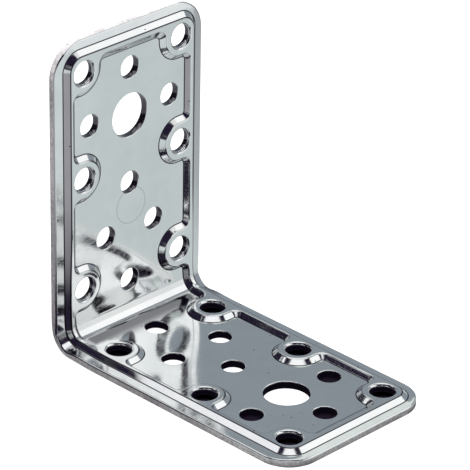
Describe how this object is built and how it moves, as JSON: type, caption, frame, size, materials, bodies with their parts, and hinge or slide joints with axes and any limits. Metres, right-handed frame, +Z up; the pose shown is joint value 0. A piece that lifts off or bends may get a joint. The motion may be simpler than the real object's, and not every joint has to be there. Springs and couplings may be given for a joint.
{
  "type": "angle bracket",
  "caption": "Pressed sheet-steel angle bracket with equal legs, a raised stiffening rim and screw pads, and plain nail and bolt holes.",
  "frame": {"origin": "centre of the bounding box's bottom: the bracket stands on one leg, and the other rises at the low end of X", "axes": "+X along the lying leg from the bend to its free end, +Y across the width, +Z up along the standing leg"},
  "size_m": [0.06, 0.036, 0.06],
  "materials": {
    "zinc_plate": "bright zinc plate, nearly mirror smooth, with matt sheared edges"
  },
  "bodies": {
    "root": {"angle_bracket": "zinc_plate"}
  },
  "joints": []
}
